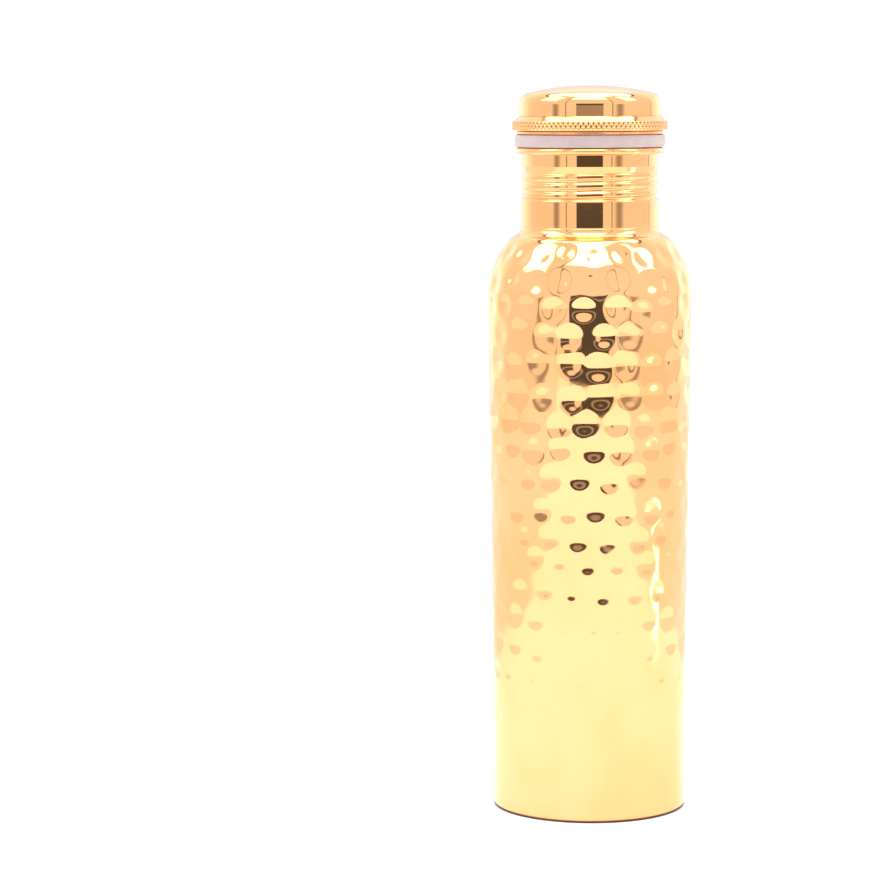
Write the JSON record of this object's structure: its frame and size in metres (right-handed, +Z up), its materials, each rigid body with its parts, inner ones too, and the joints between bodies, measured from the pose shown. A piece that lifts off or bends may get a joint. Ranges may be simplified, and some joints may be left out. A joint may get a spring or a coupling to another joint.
{
  "type": "copper water bottle",
  "caption": "Tall hammered copper water bottle with a rolled-thread neck and a screw-in domed cap with a knurled ring and a soft gasket.",
  "frame": {"origin": "centre of the foot ring, on the surface the bottle stands on", "axes": "+Z up along the bottle's axis, towards the cap; +X to the right and +Y away from someone facing it"},
  "size_m": [0.0728, 0.0728, 0.2587],
  "materials": {
    "hammered_copper": "hand-hammered, polished bright and lacquered",
    "base_copper": "spun, brushed",
    "neck_copper": "spun and polished",
    "silicone": "translucent pinkish-white silicone, satin",
    "plug_copper": "spun, satin",
    "knurl_copper": "diamond knurl, polished",
    "cap_copper": "spun and polished"
  },
  "bodies": {
    "bottle": {"bottle_shell": "hammered_copper", "base_disc": "base_copper", "neck_collar": "neck_copper"},
    "seal": {"gasket": "silicone"},
    "cap": {"cap_plug": "plug_copper", "knurled_ring": "knurl_copper", "cap_shell": "cap_copper"}
  },
  "joints": [
    {"name": "cap_rise", "type": "slide", "parent": "bottle", "child": "seal", "axis": [0, 0, 1], "range_m": [0, 0.02101]},
    {"name": "cap_turn", "type": "hinge", "parent": "seal", "child": "cap", "pos_m": [0, 0, 0.24], "axis": [0, 0, 1], "range_deg": [0, 2400]}
  ],
  "couplings": [
    {"joint": "cap_rise", "follows": "cap_turn", "m_per_rad": 0.00050134}
  ]
}
